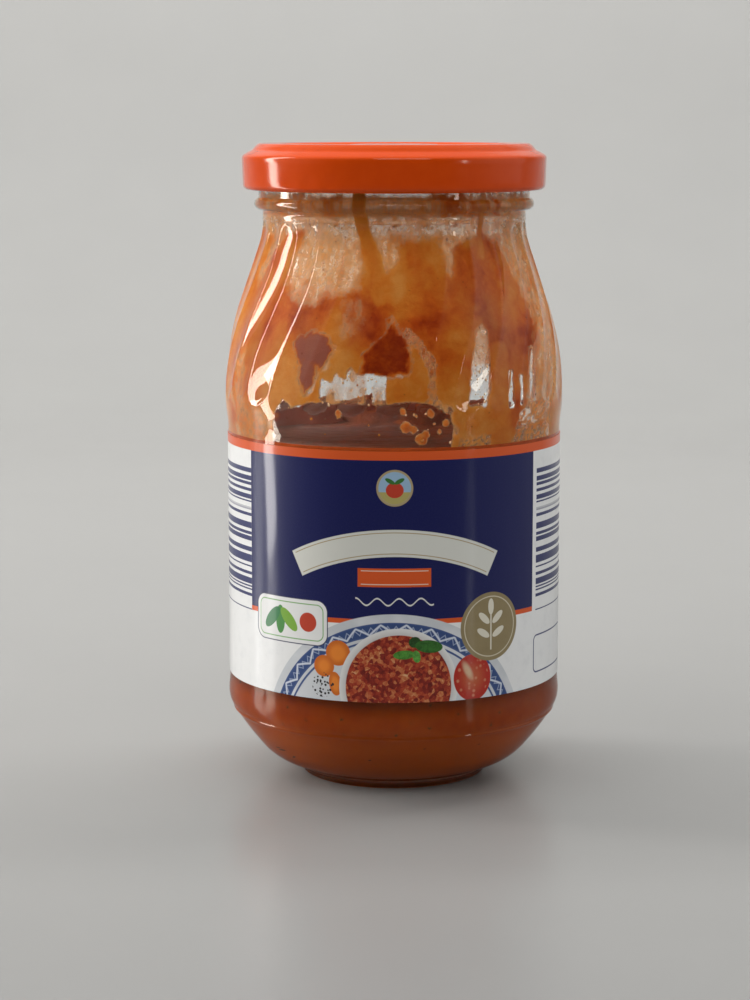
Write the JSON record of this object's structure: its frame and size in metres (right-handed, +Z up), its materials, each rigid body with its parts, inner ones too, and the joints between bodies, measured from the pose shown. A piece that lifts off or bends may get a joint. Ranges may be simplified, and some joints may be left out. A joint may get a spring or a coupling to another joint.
{
  "type": "tomato sauce jar",
  "caption": "Part-used glass jar of tomato sauce with a screw-on metal lid, a swirl-fluted shoulder and a wrap-round paper label.",
  "frame": {"origin": "centre of the resting ring under the jar, on the surface it stands on", "axes": "+Z up along the jar's axis, the label's front faces -Y, +X to the right seen from the front"},
  "size_m": [0.0752, 0.0752, 0.1408],
  "materials": {
    "glass": "clear moulded glass",
    "lid_paint": "orange lacquered tinplate, satin gloss",
    "tomato_sauce": "wet tomato sauce, smooth and slightly oily",
    "paper_label": "printed coated paper"
  },
  "bodies": {
    "root": {"jar": "glass", "lid": "lid_paint", "sauce": "tomato_sauce", "label": "paper_label"}
  },
  "joints": []
}
